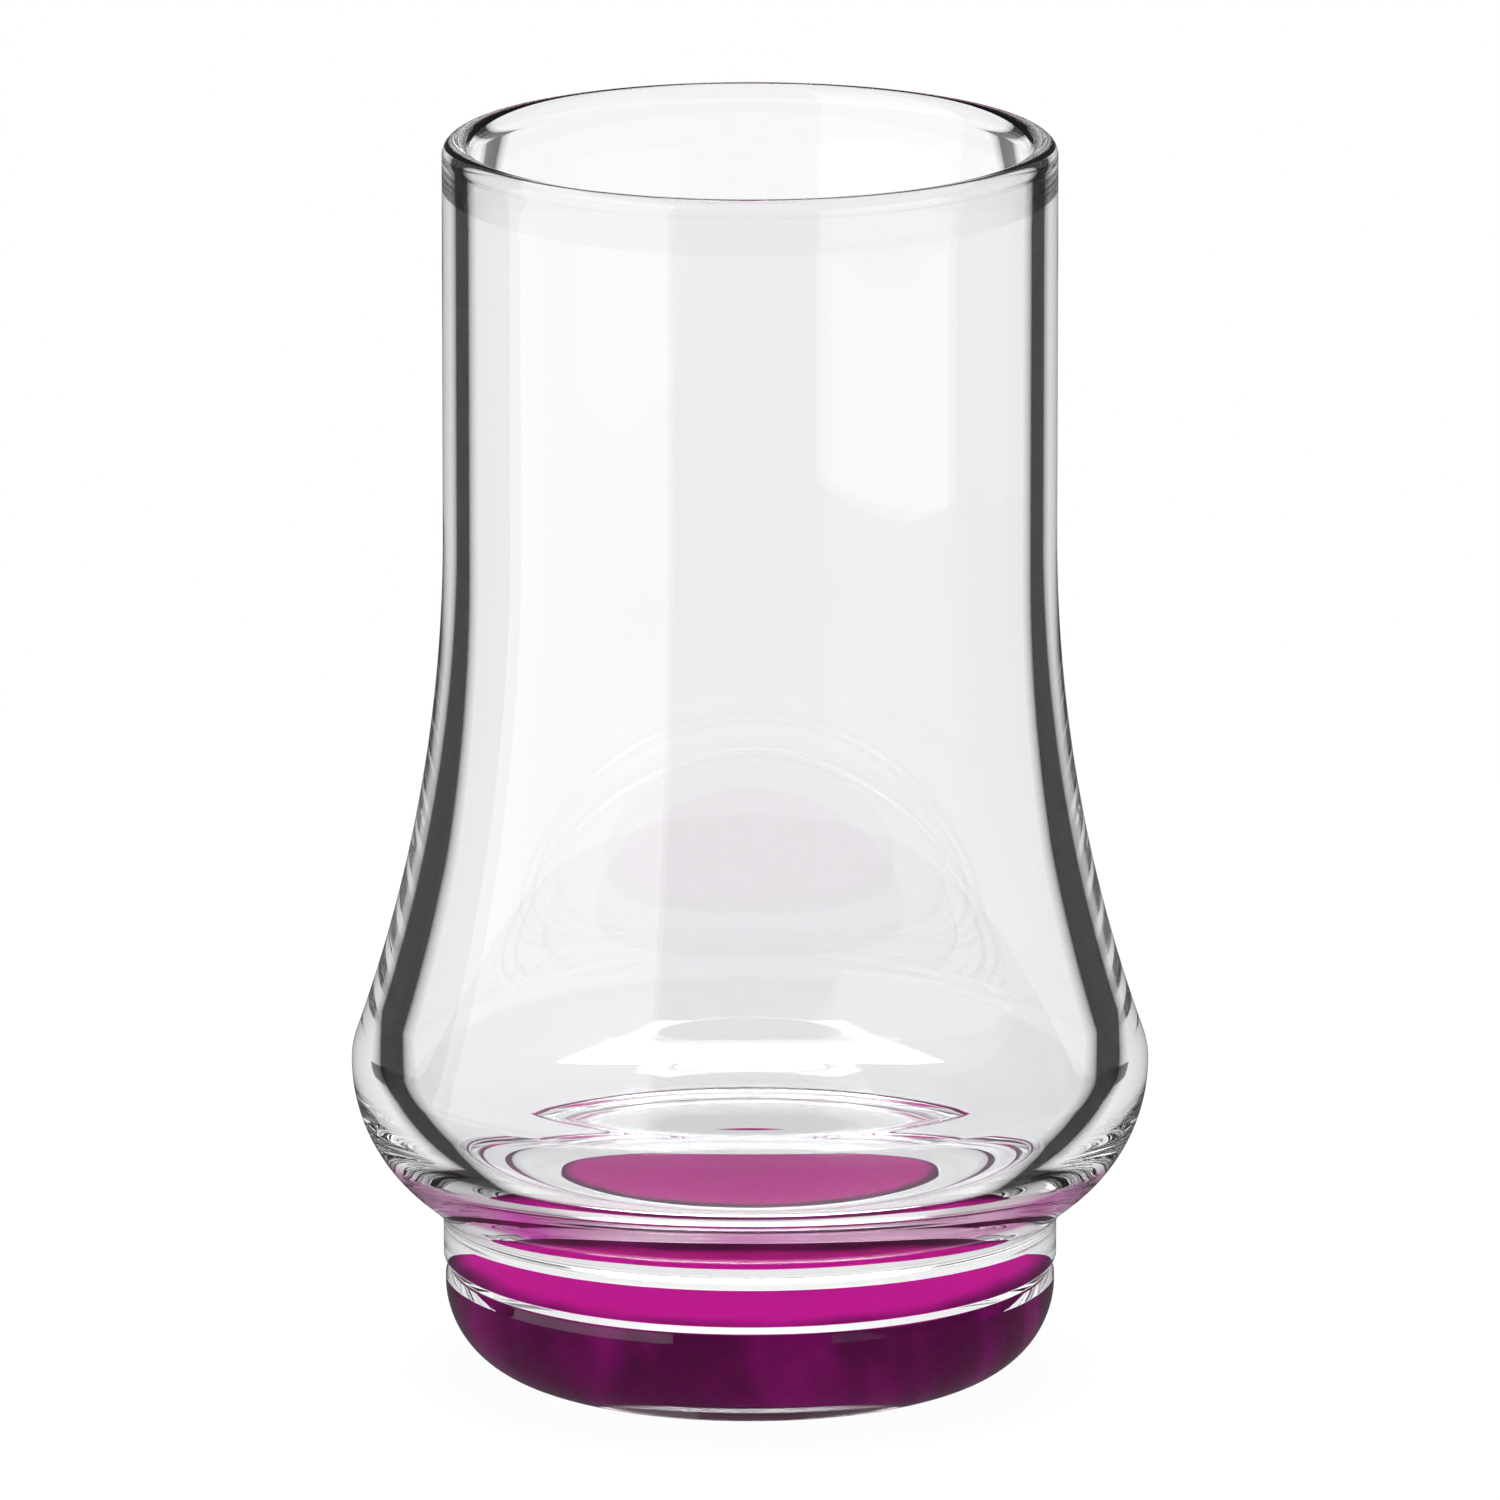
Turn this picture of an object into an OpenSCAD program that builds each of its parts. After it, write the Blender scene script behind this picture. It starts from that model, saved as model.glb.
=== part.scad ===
// Whisky tasting glass: a straight chimney above a wide bulb, on a thick foot with a coloured recess.
// Millimetres. The origin is on the table at the centre of the foot, and +Z is up.

/* [Overall] */
// Height from the table to the top of the rim
glass_h = 100; // [92:1:108]

/* [Chimney] */
// Outer radius of the straight chimney
chimney_r = 24.4; // [23.6:0.1:25.2]
// Height where the chimney begins to flare into the bulb
chimney_z = 68.2; // [62:0.2:74]
// Wall thickness of the chimney
chimney_wall = 2.1; // [1.7:0.1:2.2]
// Radius of the fire-polished bead along the rim
bead_r = 1.15; // [1.12:0.01:1.3]

/* [Bulb] */
// Outer radius of the bulb at its widest
bulb_r = 31.8; // [30.8:0.1:33]
// Height of the widest place
bulb_z = 25.4; // [24.6:0.1:26.4]
// Rounding above the widest place
bulb_round_up = 5.5; // [4:0.1:8]
// Rounding below the widest place
bulb_round_low = 13.3; // [12.6:0.1:14]
// Lean of the cone under the bulb, from upright
cone_angle = 50.7; // [48:0.1:53]
// Wall thickness of the bulb at its widest
bulb_wall = 2.9; // [2.6:0.1:3.4]

/* [Bowl] */
// Height of the widest place inside
bowl_z = 24.7; // [24.2:0.1:25.2]
// Rounding above the widest place inside
bowl_round = 4; // [3:0.1:6]
// Height of the inside floor
floor_z = 16.6; // [15.8:0.1:17.4]
// Radius of the flat middle of the floor
floor_r = 18.5; // [16:0.5:19.5]
// Fullness of the curve from the floor to the wall: 2 is an ellipse, more is squarer
bowl_power = 2; // [1.8:0.05:2.6]

/* [Foot] */
// Outer radius of the foot disc
foot_r = 24.35; // [24:0.05:25]
// Rounding of the foot disc's bottom edge
foot_round = 7.35; // [6.8:0.05:7.4]
// Height of the foot disc's top edge
foot_top = 7.8; // [7.7:0.05:8]
// Radius at the bottom of the groove above the foot disc
groove_r = 24; // [23.6:0.05:24.1]
// Height of the groove
groove_z = 8.6; // [8.45:0.05:8.7]
// Outer radius of the collar between the groove and the bulb
collar_r = 24.5; // [24.4:0.05:24.9]
// Height where the collar reaches its full radius
collar_z = 9.4; // [9.3:0.1:10.2]
// Fillet between the collar and the cone of the bulb
neck_fillet = 2.6; // [1.5:0.1:3]
// Softening of the foot's small edges
edge_round = 0.3; // [0.25:0.05:0.4]

/* [Recess] */
// Radius of the recess where it opens on the table
recess_r = 16; // [15.8:0.1:16.3]
// Radius at the top of the flared mouth, where the coat begins
wall_r = 15.7; // [15.6:0.1:15.8]
// Height of the flared mouth
flare_z = 3.4; // [2:0.1:4.2]
// Radius of the recess at its top
top_r = 15.3; // [14.5:0.1:15.6]
// Height of the recess
recess_h = 8.6; // [8:0.1:9.4]
// Rounding between the wall and the top
corner_round = 2; // [1:0.1:3]

/* [Colour coat] */
// Thickness of the colour coat
coat_t = 0.15; // [0.1:0.01:0.2]

/* [Hidden] */
$fn = 96;
// Points along each round stretch
steps = 16;

// Shoulder: a hollow arc that touches the chimney wall and the bulb's upper rounding
flare = bulb_r - chimney_r;
drop = chimney_z - bulb_z;
arc_sum = (flare * flare + drop * drop) / (2 * flare);
shoulder_round = arc_sum - bulb_round_up;
shoulder_z = bulb_z + bulb_round_up * drop / arc_sum;

// Cone: it leaves the bulb's lower rounding at a tangent and runs down to the collar
cone_r = bulb_r - bulb_round_low * (1 - cos(cone_angle));
cone_z = bulb_z - bulb_round_low * sin(cone_angle);
neck_z = cone_z - (cone_r - collar_r) / tan(cone_angle);

// Recess: its wall leans out a little towards the table, and this is the direction from the wall into the glass
wall_out = [recess_h - flare_z, wall_r - top_r] / norm([recess_h - flare_z, wall_r - top_r]);

// Rounded bottom edge of the foot
foot_c = foot_r - foot_round;

// Inside: the same kind of hollow arc, from the chimney down to the bowl's own rounding
bowl_r = bulb_r - bulb_wall;
mouth_r = chimney_r - chimney_wall;
in_flare = bowl_r - mouth_r;
in_drop = chimney_z - bowl_z;
in_sum = (in_flare * in_flare + in_drop * in_drop) / (2 * in_flare);
in_round = in_sum - bowl_round;
in_z = bowl_z + bowl_round * in_drop / in_sum;

// Bead that caps the rim
bead_c = chimney_r - bead_r;
bead_z = glass_h - bead_r;
bead_end = 180 + acos((bead_c - mouth_r) / bead_r);

// A list of points in the other order
function backwards(list) = [for (i = [len(list) - 1:-1:0]) list[i]];

// Points of an arc about [x, z], from angle a to angle b
function arc(x, z, r, a, b, n = steps) =
    [for (i = [0:n]) [x + r * cos(a + (b - a) * i / n), z + r * sin(a + (b - a) * i / n)]];

// Points of a small arc of radius r that softens the corner q between its neighbours p and s, set in by t
function soften(p, q, s, r, t = 0, n = 6) =
    let (u = (p - q) / norm(p - q))
    let (v = (s - q) / norm(s - q))
    let (half = acos(u * v) / 2)
    let (c = q + (u + v) / norm(u + v) * r / sin(half))
    let (from = q + u * r / tan(half) - c)
    let (to = q + v * r / tan(half) - c)
    let (a = atan2(from[1], from[0]))
    let (turn = atan2(from[0] * to[1] - from[1] * to[0], from * to))
    arc(c[0], c[1], r - t, a, a + turn, n);

// Points of a hollow arc that leaves an upright wall of radius r at chimney_z and ends at height z
function hollow(r, round, z, n) =
    [for (i = [0:n])
        let (fall = (chimney_z - z) * i / n)
        [r + round - sqrt(round * round - fall * fall), chimney_z - fall]];

// Corners of the foot's side, from the disc up to the cone
foot_edge = [foot_r, foot_top];
groove = [groove_r, groove_z];
collar = [collar_r, collar_z];
neck = [collar_r, neck_z];

// Face of the recess that the coat covers, set out into the glass by t
top_edge = [top_r, recess_h];
wall_foot = [wall_r, flare_z];
function recess(t) =
    concat(
        [[0, recess_h + t]],
        soften([0, recess_h], top_edge, wall_foot, corner_round, -t),
        [wall_foot + t * wall_out]
    );

// Bare glass: the flared mouth, the resting ring, the rounded edge, then groove, collar and fillet
foot_side = concat(
    [wall_foot, [recess_r, 0]],
    arc(foot_c, foot_round, foot_round, -90, 0, 24),
    soften([foot_r, foot_round], foot_edge, groove, edge_round),
    soften(foot_edge, groove, collar, edge_round),
    soften(groove, collar, neck, edge_round),
    soften(collar, neck, [cone_r, cone_z], neck_fillet)
);

// Outside of the bulb and chimney, up to and over the rim
bulb_side = concat(
    arc(bulb_r - bulb_round_low, bulb_z, bulb_round_low, -cone_angle, 0),
    arc(bulb_r - bulb_round_up, bulb_z, bulb_round_up, 0, asin(drop / arc_sum), 8),
    backwards(hollow(chimney_r, shoulder_round, shoulder_z, 40)),
    arc(bead_c, bead_z, bead_r, 0, bead_end, 24)
);

// Inside, from the chimney down to the widest place and on to the flat floor
bowl = [for (i = [1:36]) 90 * i / 36];
inside = concat(
    hollow(mouth_r, in_round, in_z, 44),
    arc(bowl_r - bowl_round, bowl_z, bowl_round, asin(in_drop / in_sum), 0, 8),
    [for (a = bowl) [
        floor_r + (bowl_r - floor_r) * pow(cos(a), 2 / bowl_power),
        bowl_z - (bowl_z - floor_z) * pow(sin(a), 2 / bowl_power)
    ]],
    [[0, floor_z]]
);

// Glass: one solid of revolution, set back where the coat covers it so that the coat lies flush
module glass_body()
    color([0.9, 0.93, 0.95, 0.35])
    rotate_extrude()
    polygon(concat(recess(coat_t), foot_side, bulb_side, inside));

// Coat on the top and wall of the recess
module recess_coat()
    color([0.78, 0.05, 0.48])
    rotate_extrude()
    polygon(concat(recess(0), backwards(recess(coat_t))));

glass_body();
recess_coat();
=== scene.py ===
# %% [markdown]
# A whisky tasting glass The real glass is one body of clear glass: a straight chimney, a wide bulb, a thick
# base, and a foot disc under a fine groove. A deep recess under the foot is lacquered magenta. The clear glass
# round it works as a lens, so the whole foot looks coloured. Nearly all of the look is optics: the shape has to
# be right inside too.

# %% Load the frame
import math

import bpy
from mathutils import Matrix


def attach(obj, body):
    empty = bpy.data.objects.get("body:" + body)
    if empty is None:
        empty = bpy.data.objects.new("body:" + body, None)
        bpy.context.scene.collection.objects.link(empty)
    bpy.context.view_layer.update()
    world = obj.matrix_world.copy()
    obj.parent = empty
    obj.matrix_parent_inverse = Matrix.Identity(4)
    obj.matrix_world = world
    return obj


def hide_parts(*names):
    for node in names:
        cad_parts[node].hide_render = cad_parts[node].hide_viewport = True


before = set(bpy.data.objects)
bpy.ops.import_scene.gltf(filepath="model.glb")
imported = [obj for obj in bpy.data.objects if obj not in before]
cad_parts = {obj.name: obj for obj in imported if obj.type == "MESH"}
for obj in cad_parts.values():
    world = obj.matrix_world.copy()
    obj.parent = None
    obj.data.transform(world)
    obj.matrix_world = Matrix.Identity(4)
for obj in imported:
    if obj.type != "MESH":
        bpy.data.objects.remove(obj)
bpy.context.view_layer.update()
scene = bpy.context.scene

# %% [markdown]
# The camera
# The photograph looks down at the glass by about 13 degrees from some way off, so the rim shows as a slim
# ellipse and the sides hardly converge. A wider lens close by would open the rim too much. A long lens is
# set here, with its distance, height and tilt worked out from the rim, the foot and the bulb.

# %% Set the camera
TILT = 13.0922

eye = bpy.data.cameras.new("eye")
camera = bpy.data.objects.new("camera", eye)
scene.collection.objects.link(camera)
camera.location = (0, -1.7, 0.44585)
camera.rotation_euler = (math.radians(90 - TILT), 0, 0)
eye.sensor_width = 36
eye.lens = 526.3
eye.clip_end = 30
scene.camera = camera
print("camera:", tuple(camera.location), "lens", eye.lens)

# %% [markdown]
# Shader maths
# A finish is a web of nodes. Writing it as plain expressions keeps it readable, so a small class wraps an
# output socket and turns + - * into Math nodes. Every other kind of node comes from one method, which takes
# its settings first and then the values or links of its sockets. Three helpers cover what comes up most: a
# ramp over a range of values, a blend of two colours, and the length of a vector.

# %% Wrap sockets and nodes
class Number:
    def __init__(self, finish, socket):
        self.finish = finish
        self.socket = socket

    def math(self, operation, left, right):
        return self.finish.add("ShaderNodeMath", {"operation": operation}, {0: left, 1: right})[0]

    def __add__(self, other):
        return self.math("ADD", self, other)

    def __radd__(self, other):
        return self.math("ADD", other, self)

    def __sub__(self, other):
        return self.math("SUBTRACT", self, other)

    def __rsub__(self, other):
        return self.math("SUBTRACT", other, self)

    def __mul__(self, other):
        return self.math("MULTIPLY", self, other)

    def __rmul__(self, other):
        return self.math("MULTIPLY", other, self)

    def most(self, other):
        return self.math("MAXIMUM", self, other)

    def equals(self, other):
        return self.math("COMPARE", self, other)


class Finish:
    def __init__(self, name, block=None):
        self.block = block or bpy.data.materials.new(name)
        self.block.use_nodes = True
        self.tree = self.block.node_tree
        self.tree.nodes.clear()

    def add(self, kind, settings=None, inputs=None):
        node = self.tree.nodes.new(kind)
        for key, value in (settings or {}).items():
            setattr(node, key, value)
        for key, value in (inputs or {}).items():
            if isinstance(value, Number):
                self.tree.links.new(value.socket, node.inputs[key])
            else:
                node.inputs[key].default_value = value
        return {key: Number(self, socket) for n, socket in enumerate(node.outputs) for key in (n, socket.name)}

    def show(self, surface, kind="ShaderNodeOutputMaterial"):
        self.add(kind, inputs={"Surface": surface})
        return self.block


def ramp(finish, value, low, high, start=0.0, end=1.0):
    spans = {"Value": value, "From Min": low, "From Max": high, "To Min": start, "To Max": end}
    return finish.add("ShaderNodeMapRange", inputs=spans)[0]


def blend(finish, share, plain, full):
    return finish.add("ShaderNodeMix", {"data_type": "RGBA"}, {0: share, 6: plain, 7: full})[2]


def length(finish, vector):
    return finish.add("ShaderNodeVectorMath", {"operation": "LENGTH"}, {0: vector})["Value"]


print("shader kit ready")

# %% [markdown]
# The white floor and the dark room
# The photograph's background is pure white, and it shows through the glass almost as bright. Reflections in
# the glass are dark, though, because the studio round the table is dark, and so is most of what the lacquer
# sees. So the floor is white to the camera and to light that the glass bends, and dim to all other light. Near
# the glass a small share of it stays matt paper and takes the soft shadow. The world does the same. It is dark
# as well to bent light that has bounced once, so that the floor of the bowl doesn't mirror a white room over
# the lacquer.

# %% Make the floor
WHITE = (1, 1, 1, 1)
PAPER = (0.95, 0.95, 0.95, 1)
DIM_FLOOR = (0.1, 0.1, 0.105, 1)

bpy.ops.object.select_all(action="DESELECT")
bpy.ops.mesh.primitive_plane_add(size=16, location=(0, 0, -0.0003))
floor = bpy.context.object
floor.name = "floor"
paper = Finish("white_paper")
ray = paper.add("ShaderNodeLightPath")
seen = ray["Is Camera Ray"]
bent = ray["Is Transmission Ray"] * (1 - ray["Diffuse Depth"])
matt = paper.add("ShaderNodeBsdfDiffuse", inputs={"Color": PAPER})[0]
dim = paper.add("ShaderNodeEmission", inputs={"Color": DIM_FLOOR, "Strength": 1.0})[0]
white = paper.add("ShaderNodeEmission", inputs={"Color": WHITE, "Strength": 1.0})[0]
unlit = paper.add("ShaderNodeMixShader", inputs={0: seen, 1: dim, 2: matt})[0]
reach = length(paper, paper.add("ShaderNodeTexCoord")["Object"])
share = seen * ramp(paper, reach, 0.05, 0.25, 0.94, 1.0)
mixed = paper.add("ShaderNodeMixShader", inputs={0: share.most(bent), 1: unlit, 2: white})[0]
floor.data.materials.append(paper.show(mixed))
print("floor is white")

# %% Make the room
DARK_ROOM = (0.07, 0.07, 0.075, 1)

scene.world = bpy.data.worlds.new("studio")
studio = Finish("studio", scene.world)
ray = studio.add("ShaderNodeLightPath")
bent = ray["Is Transmission Ray"] * (1 - ray["Diffuse Depth"])
once = ray["Glossy Depth"].equals(1)
lit = ray["Is Camera Ray"].most(bent * (1 - once * 0.9))
room = studio.add("ShaderNodeBackground", inputs={"Color": DARK_ROOM, "Strength": 1.0})[0]
sky = studio.add("ShaderNodeBackground", inputs={"Color": WHITE, "Strength": 1.0})[0]
backdrop = studio.add("ShaderNodeMixShader", inputs={0: lit, 1: room, 2: sky})[0]
studio.show(backdrop, "ShaderNodeOutputWorld")
print("room is dim")

# %% [markdown]
# Softboxes
# Two pale strips stand on the front of the glass: a tall one on the left with a crisp inner edge, and a shorter
# one on the right with a patch on the bulb. They are reflections of softboxes that stand on the table in front.
# These shine only on light that has bounced off the glass, so that no white panel shows through it from behind.
# Another softbox hangs over the mouth, shines down through the bowl and lights the lacquer under its floor.

# %% Hang the softboxes
def softbox(name, place, width, height, glow, tilt=90, mirrored=True):
    lamp = bpy.data.lights.new(name, "AREA")
    lamp.shape = "RECTANGLE"
    lamp.size = width
    lamp.size_y = height
    lamp.energy = glow * math.pi * width * height
    box = bpy.data.objects.new(name, lamp)
    scene.collection.objects.link(box)
    box.location = place
    box.rotation_euler = (math.radians(tilt), 0, math.atan2(place[0], -place[1]))
    box.visible_camera = False
    box.visible_glossy = mirrored
    if mirrored:
        gleam = Finish(name, lamp)
        bounces = gleam.add("ShaderNodeLightPath")["Glossy Depth"]
        off = gleam.add("ShaderNodeEmission", inputs={"Strength": 0.0})[0]
        on = gleam.add("ShaderNodeEmission", inputs={"Strength": 1.0})[0]
        shine = gleam.add("ShaderNodeMixShader", inputs={0: bounces, 1: off, 2: on})[0]
        gleam.show(shine, "ShaderNodeOutputLight")
    print(name, "at", place, "power", round(lamp.energy, 2))


softbox("softbox_left", (-0.197, -0.098, 0.25), 0.3, 0.498, 1.1)
softbox("softbox_right", (0.246, -0.172, 0.017), 0.3, 0.032, 0.3)
softbox("softbox_patch", (0.246, -0.172, 0.22), 0.26, 0.16, 0.4)
softbox("softbox_top", (0, 0, 0.7), 0.7, 0.7, 10.0, 0, False)

# %% [markdown]
# The outline
# Everything here is turned about one axis, so half an outline is enough. It repeats the solids' sizes, in
# millimetres: arcs that run into each other for the bulb, a softened groove and collar, and a bowl whose lower
# half is a quarter of an ellipse on each side. Drawn from these few sizes, the curves stay clean, where
# hand-placed points would ripple.

# %% Write the sizes
GLASS_H = 100
CHIMNEY_R, CHIMNEY_Z, CHIMNEY_WALL = 24.4, 68.2, 2.1
BEAD_R = 1.15
BULB_R, BULB_Z, BULB_WALL = 31.8, 25.4, 2.9
BULB_ROUND_UP, BULB_ROUND_LOW = 5.5, 13.3
CONE_ANGLE = 50.7
BOWL_Z, BOWL_ROUND, BOWL_POWER = 24.7, 4, 2
FLOOR_Z, FLOOR_R = 16.6, 18.5
FOOT_R, FOOT_ROUND, FOOT_TOP = 24.35, 7.35, 7.8
GROOVE_R, GROOVE_Z = 24, 8.6
COLLAR_R, COLLAR_Z = 24.5, 9.4
NECK_FILLET, EDGE_ROUND = 2.6, 0.3
RECESS_R, WALL_R, FLARE_Z = 16, 15.7, 3.4
TOP_R, RECESS_H, CORNER_ROUND = 15.3, 8.6, 2
SHOULDER_STEPS, TURN_STEPS = 72, 256
print("sizes set, height", GLASS_H)

# %% Helpers for round stretches
def arc(x, z, r, start, end, steps):
    turns = [math.radians(start + (end - start) * i / steps) for i in range(steps + 1)]
    return [(x + r * math.cos(t), z + r * math.sin(t)) for t in turns]


def soften(before, corner, after, r, inset=0, steps=6):
    u = [a - c for a, c in zip(before, corner)]
    v = [a - c for a, c in zip(after, corner)]
    u = [a / math.hypot(*u) for a in u]
    v = [a / math.hypot(*v) for a in v]
    half = math.acos(u[0] * v[0] + u[1] * v[1]) / 2
    w = [a + b for a, b in zip(u, v)]
    reach = r / math.sin(half) / math.hypot(*w)
    centre = [c + a * reach for c, a in zip(corner, w)]
    first = [c + a * r / math.tan(half) - m for c, a, m in zip(corner, u, centre)]
    last = [c + a * r / math.tan(half) - m for c, a, m in zip(corner, v, centre)]
    start = math.degrees(math.atan2(first[1], first[0]))
    cross = first[0] * last[1] - first[1] * last[0]
    turn = math.degrees(math.atan2(cross, first[0] * last[0] + first[1] * last[1]))
    return arc(centre[0], centre[1], r - inset, start, start + turn, steps)


print("an arc of", len(arc(0, 0, 1, 0, 90, 8)), "points")

# %% Draw the outside
def hollow(wall_r, widest_r, widest_z, rounding, steps):
    flare = widest_r - wall_r
    drop = CHIMNEY_Z - widest_z
    both = (flare ** 2 + drop ** 2) / (2 * flare)
    r = both - rounding
    falls = [(drop - rounding * drop / both) * i / steps for i in range(steps + 1)]
    line = [(wall_r + r - math.sqrt(r * r - f * f), CHIMNEY_Z - f) for f in falls]
    turn = math.degrees(math.asin(drop / both))
    return line + arc(widest_r - rounding, widest_z, rounding, turn, 0, 12)[1:]


cone_r = BULB_R - BULB_ROUND_LOW * (1 - math.cos(math.radians(CONE_ANGLE)))
cone_z = BULB_Z - BULB_ROUND_LOW * math.sin(math.radians(CONE_ANGLE))
neck = (COLLAR_R, cone_z - (cone_r - COLLAR_R) / math.tan(math.radians(CONE_ANGLE)))
foot_c = FOOT_R - FOOT_ROUND
wall_run = math.hypot(RECESS_H - FLARE_Z, WALL_R - TOP_R)
wall_out = ((RECESS_H - FLARE_Z) / wall_run, (WALL_R - TOP_R) / wall_run)


def between(low, high, steps):
    return [low + (high - low) * i / steps for i in range(1, steps + 1)]


foot_edge, groove, collar = (FOOT_R, FOOT_TOP), (GROOVE_R, GROOVE_Z), (COLLAR_R, COLLAR_Z)


def recess(inset):
    corner = soften((0, RECESS_H), (TOP_R, RECESS_H), (WALL_R, FLARE_Z), CORNER_ROUND, -inset, 10)
    return [(0, RECESS_H + inset)] + corner + [(WALL_R + inset * wall_out[0], FLARE_Z + inset * wall_out[1])]


outside = recess(0) + [(RECESS_R, 0)] + arc(foot_c, FOOT_ROUND, FOOT_ROUND, -90, 0, 28)
outside += soften((FOOT_R, FOOT_ROUND), foot_edge, groove, EDGE_ROUND)
outside += soften(foot_edge, groove, collar, EDGE_ROUND)
outside += soften(groove, collar, neck, EDGE_ROUND)
outside += soften(collar, neck, (cone_r, cone_z), NECK_FILLET, steps=8)
outside += arc(BULB_R - BULB_ROUND_LOW, BULB_Z, BULB_ROUND_LOW, -CONE_ANGLE, 0, 24)
outside += hollow(CHIMNEY_R, BULB_R, BULB_Z, BULB_ROUND_UP, SHOULDER_STEPS)[::-1][1:]
print("outside points:", len(outside))

# %% Draw the rim and the inside
mouth_r = CHIMNEY_R - CHIMNEY_WALL
bead_c = CHIMNEY_R - BEAD_R
bead_z = GLASS_H - BEAD_R
bead_end = 180 + math.degrees(math.acos((bead_c - mouth_r) / BEAD_R))
bowl_r = BULB_R - BULB_WALL


def bowl(t):
    a = math.radians(t)
    across = (bowl_r - FLOOR_R) * max(math.cos(a), 0) ** (2 / BOWL_POWER)
    return FLOOR_R + across, BOWL_Z - (BOWL_Z - FLOOR_Z) * math.sin(a) ** (2 / BOWL_POWER)


rim = [(CHIMNEY_R, z) for z in between(CHIMNEY_Z, bead_z, 8)]
rim += arc(bead_c, bead_z, BEAD_R, 0, bead_end, 24)[1:]
bead_foot = rim[-1][1]
inside = [(mouth_r, z) for z in between(bead_foot, CHIMNEY_Z, 8)]
inside += hollow(mouth_r, bowl_r, BOWL_Z, BOWL_ROUND, SHOULDER_STEPS)[1:]
inside += [bowl(t) for t in between(0, 90, 40)]
inside += [(r, FLOOR_Z) for r in between(FLOOR_R, 0, 4)]
glass_outline = outside + rim + inside
print("outline points:", len(glass_outline), "mouth", round(2 * mouth_r, 1), "mm across")

# %% [markdown]
# Turning the glass
# A glassblower's mould turns the shape about one axis, and Blender's spin does the same. A single corner is
# pulled out along the outline by extruding it, one stretch after another, and the finished line is spun once
# round. The seam and the two ends on the axis are merged, so the glass is one closed skin, which bent light
# needs.

# %% Spin the glass body
def lathe(name, outline, steps):
    bpy.ops.object.select_all(action="DESELECT")
    bpy.ops.mesh.primitive_plane_add(size=0.001, location=(0, 0, 0))
    piece = bpy.context.object
    piece.name = name
    bpy.ops.object.mode_set(mode="EDIT")
    bpy.ops.mesh.select_mode(type="VERT")
    bpy.ops.mesh.select_all(action="SELECT")
    bpy.ops.mesh.merge(type="CENTER")
    points = [(r / 1000, 0, z / 1000) for r, z in outline]
    bpy.ops.transform.translate(value=points[0])
    for a, b in zip(points, points[1:]):
        step = [q - p for p, q in zip(a, b)]
        bpy.ops.mesh.extrude_region_move(TRANSFORM_OT_translate={"value": step})
    bpy.ops.mesh.select_all(action="SELECT")
    bpy.ops.mesh.spin(steps=steps, angle=math.tau, center=(0, 0, 0), axis=(0, 0, 1))
    bpy.ops.mesh.select_all(action="SELECT")
    bpy.ops.mesh.remove_doubles(threshold=2e-6)
    bpy.ops.mesh.normals_make_consistent(inside=False)
    bpy.ops.object.mode_set(mode="OBJECT")
    bpy.ops.object.shade_smooth_by_angle(angle=math.radians(30))
    print(name, len(piece.data.vertices), "corners,", len(piece.data.polygons), "faces")
    return piece


glass = lathe("clear_body", glass_outline, TURN_STEPS)

# %% [markdown]
# The colour coat
# The lacquer covers the top and wall of the recess, and leaves its flared mouth and the resting ring bare. It
# touches the glass all over, so light reaches it with no mirror in between. A coat laid on the outside would
# leave a skin of air and a silver shine, so it is a thin closed shell that lies just under the surface of the
# glass, spun the same way.

# %% Spin the coat
SKIN, DEPTH = 0.02, 0.12
coat = lathe("recess_film", recess(SKIN) + recess(DEPTH)[::-1], TURN_STEPS)

# %% [markdown]
# Clear glass
# Real pressed glass is clean but never perfect: its surface waves very slightly, and the foot keeps a fine rough
# chill from the mould. Seen edge on, the wall bends in light from the dark sides of the studio, so a dark line
# runs down both edges with a light rim outside it. That line is painted shade here: Layer Weight finds that
# narrow range of angles on the outer skin and paints it dark there, and the range shifts with the height because
# the wall and the bowl do. The pink of the lacquer, seen through the thick cone under the bulb, is painted too,
# as a soft pink ring on the cone's outside: a painted refraction. Both painted tints act only where a camera ray
# meets the glass first, and leave the light inside it alone.

# %% Raise the waves and the chill
clear = Finish("clear_glass")
place = clear.add("ShaderNodeTexCoord")["Object"]
across = clear.add("ShaderNodeSeparateXYZ", inputs={0: place})
height = across["Z"]
wave = clear.add("ShaderNodeTexNoise", inputs={"Vector": place, "Scale": 70.0, "Detail": 1.0})[0]
chill = clear.add("ShaderNodeTexNoise", inputs={"Vector": place, "Scale": 900.0, "Detail": 2.0})[0]
relief = wave * 0.5 + chill * ramp(clear, height, 0.016, 0.010) * 0.02
bump = clear.add("ShaderNodeBump", inputs={"Height": relief, "Strength": 1.0, "Distance": 0.00004})[0]
print("relief ready")

# %% Find the painted dark edge line
# How far the skin turns away where the line begins and ends, and the heights in metres where that changes
NEAR_LOW, NEAR_HIGH, NEAR_MORE = 0.375, 0.52, 0.055
FAR_LOW, FAR_HIGH = 0.47, 0.74
LINE_FOOT, WIDEST, SHOULDER = (0.0180, 0.0204), (0.0235, 0.0305), (0.045, 0.068)
PINCH, PINCH_FOOT, PINCH_TOP = 0.0215, 0.0195, 0.031

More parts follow.
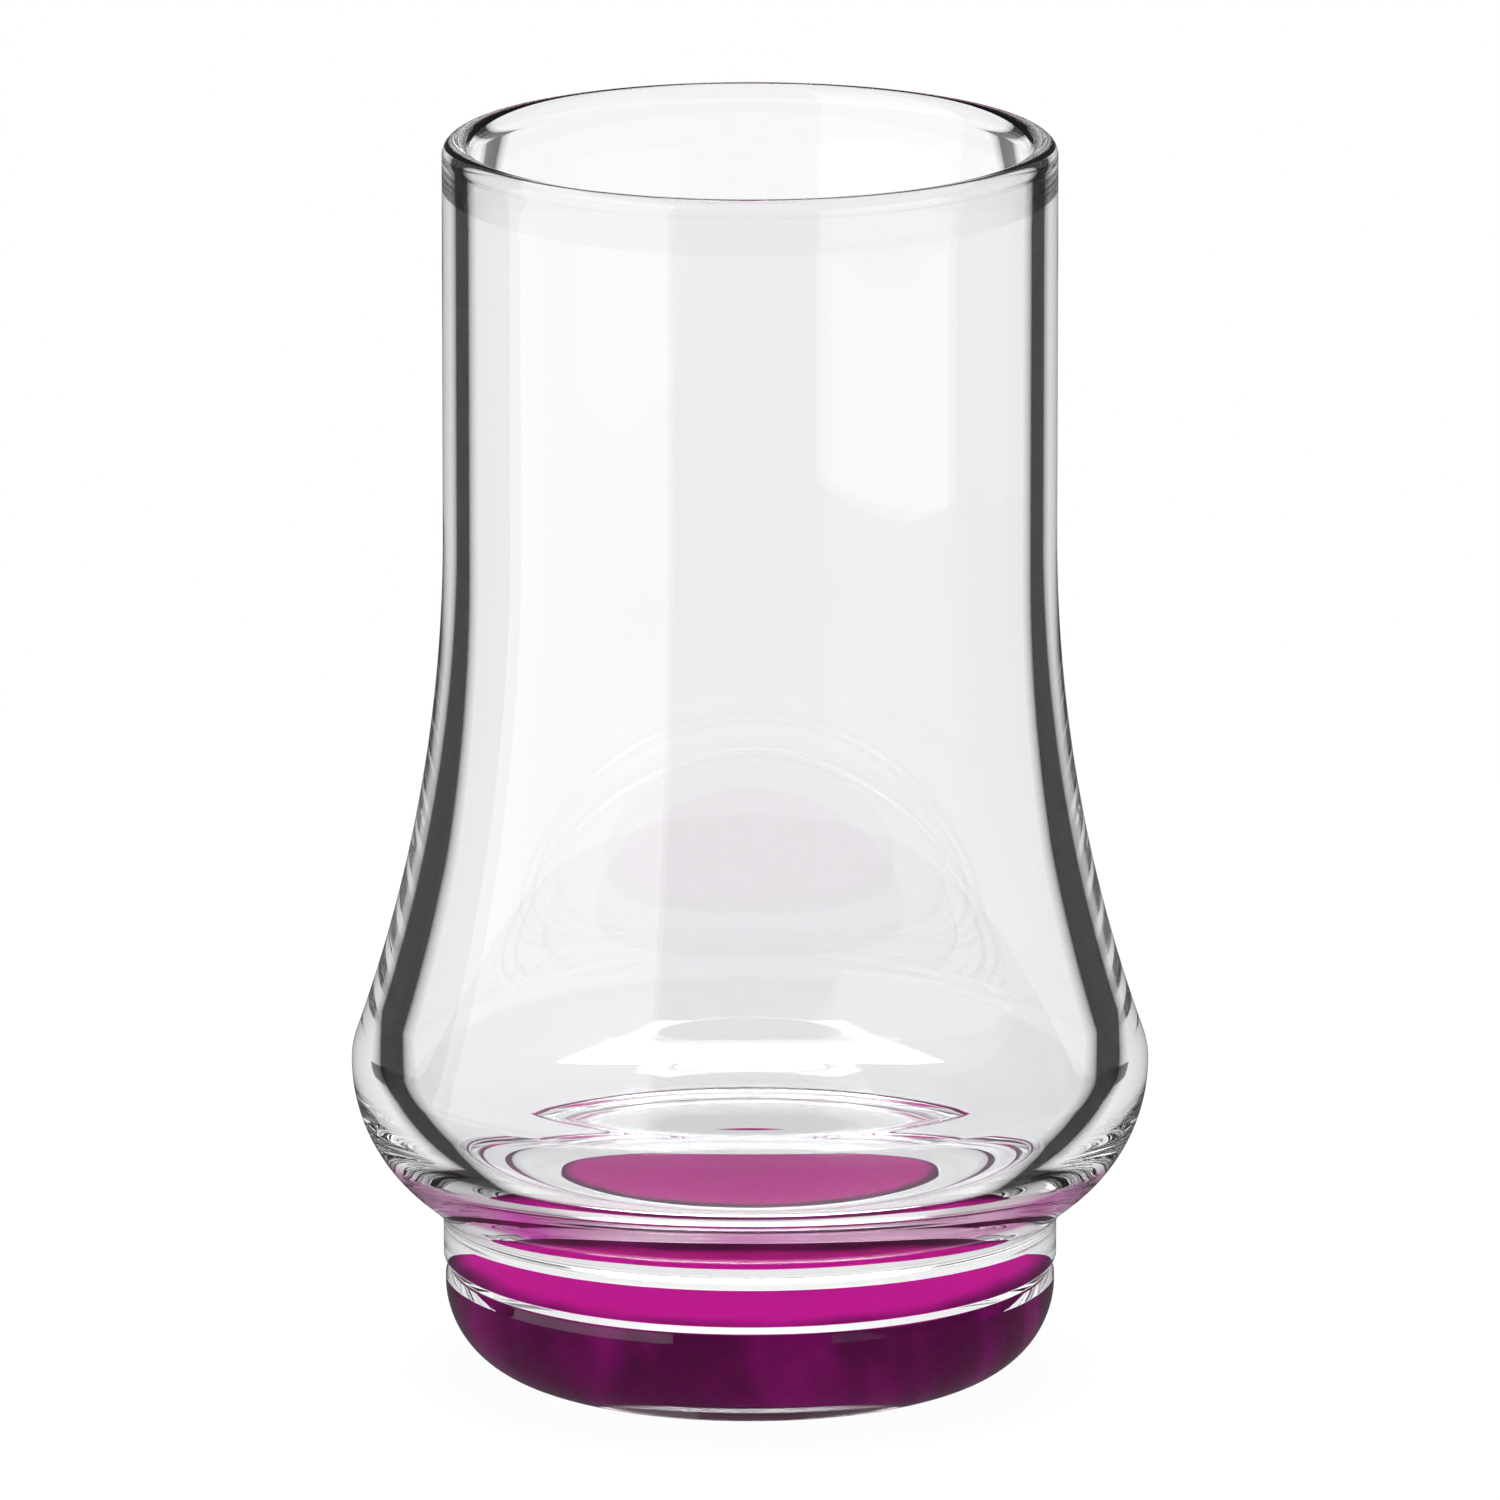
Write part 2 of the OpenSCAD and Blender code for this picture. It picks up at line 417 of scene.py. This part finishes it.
facing = clear.add("ShaderNodeLayerWeight", inputs={"Blend": 0.5})["Facing"]
first = clear.add("ShaderNodeLightPath")["Is Camera Ray"]
near_low = ramp(clear, height, *WIDEST, NEAR_LOW, NEAR_HIGH)
near = near_low + ramp(clear, height, *SHOULDER, 0.0, NEAR_MORE)
far_up = ramp(clear, height, PINCH, PINCH_TOP, FAR_LOW, FAR_HIGH)
far_down = ramp(clear, height, PINCH, PINCH_FOOT, FAR_LOW, FAR_HIGH)
inner = ramp(clear, facing - near, -0.03, 0.03)
outer = ramp(clear, facing - far_up.most(far_down), -0.035, 0.035, 1.0, 0.0)
# This mask paints shade: a dark line down both edges of the glass, standing in for the dark studio seen through
# the wall
painted_edge_line = inner * outer * ramp(clear, height, *LINE_FOOT) * first
print("edge line from the cone to the rim")

# %% Find the painted pink ring
# Heights and radius in metres: the painted ring fades in and out, and stays off the inside of the bowl
RING_FOOT, RING_TOP, RING_SKIN = (0.0152, 0.0160), (0.0197, 0.0184), (0.0262, 0.027)

flat = clear.add("ShaderNodeCombineXYZ", inputs={"X": across["X"], "Y": across["Y"]})[0]
ring = ramp(clear, height, *RING_FOOT) * ramp(clear, height, *RING_TOP)
# This mask paints the lacquer's pink, as seen through the cone, as a ring on the cone's outside: a painted
# refraction
painted_lacquer_refraction = ring * ramp(clear, length(clear, flat), *RING_SKIN) * (0.6 + wave * 0.55) * first
print("pink ring on the cone")

# %% Mix the glass finish
CLEAR = (0.94, 0.943, 0.952, 1)
# Painted pink for the lacquer seen through the cone
PAINTED_PINK_REFRACTION = (0.3, 0.006, 0.17, 1)
# Painted shade colour for the dark edge line
PAINTED_EDGE_SHADE = (0.004, 0.0035, 0.004, 1)

# Clear glass, with the painted pink refraction and the painted edge shade laid over it
tint = blend(clear, painted_edge_line, blend(clear, painted_lacquer_refraction, CLEAR, PAINTED_PINK_REFRACTION), PAINTED_EDGE_SHADE)
body = clear.add(
    "ShaderNodeBsdfPrincipled",
    inputs={"Base Color": tint, "Roughness": 0.0, "IOR": 1.52, "Transmission Weight": 1.0, "Normal": bump},
)[0]
glass.data.materials.append(clear.show(body))
print("clear glass ready")

# %% [markdown]
# Magenta lacquer
# The coat is a solid colour with no shine of its own, because glass touches it. It is bright on the top of the
# recess and deeper on the wall, and that deeper wall colour is painted shade; some brighter patches on it are
# painted glints. The height blends the two colours, and a slow noise makes the patches and keeps the blend from
# looking ruled.

# %% Mix the lacquer finish
# The deep colour is painted shade for the recess wall and the patchy colour is painted glints on it; the bright
# colour is the lacquer's own
PAINTED_WALL_SHADE = (0.28, 0.003, 0.16, 1)
PAINTED_GLINTS = (0.6, 0.006, 0.36, 1)
BRIGHT = (0.85, 0.014, 0.43, 1)

dye = Finish("magenta_lacquer")
spot = dye.add("ShaderNodeTexCoord")["Object"]
cloud = dye.add("ShaderNodeTexNoise", inputs={"Vector": spot, "Scale": 160.0, "Detail": 2.0})[0]
level = dye.add("ShaderNodeSeparateXYZ", inputs={0: spot})["Z"]
# The height puts the painted shade on the wall and leaves the top bright, and the noise scatters painted glints
# over the wall
top_share = ramp(dye, level + cloud * 0.0008, 0.0080, 0.0089)
patch = ramp(dye, cloud, 0.48, 0.68)
colour = blend(dye, top_share, blend(dye, patch, PAINTED_WALL_SHADE, PAINTED_GLINTS), BRIGHT)
paint = dye.add(
    "ShaderNodeBsdfPrincipled", inputs={"Base Color": colour, "Roughness": 0.5, "Specular IOR Level": 0.0}
)[0]
coat.data.materials.append(dye.show(paint))
print("lacquer ready")

# %% [markdown]
# Putting the pieces in the frame
# Nothing on the glass moves, so both pieces ride on the one body. Each stands in for the solid that it shows,
# which is hidden. Bent light needs many bounces before it leaves the thick base.

# %% Hand over
for piece, node, slot in ((glass, "glass_body", "clear_glass"), (coat, "recess_coat", "magenta_coat")):
    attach(piece, "root")
    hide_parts(node)

scene.view_settings.view_transform = "Standard"
scene.cycles.max_bounces = 48
scene.cycles.transmission_bounces = 32
scene.cycles.glossy_bounces = 24
scene.cycles.transparent_max_bounces = 48
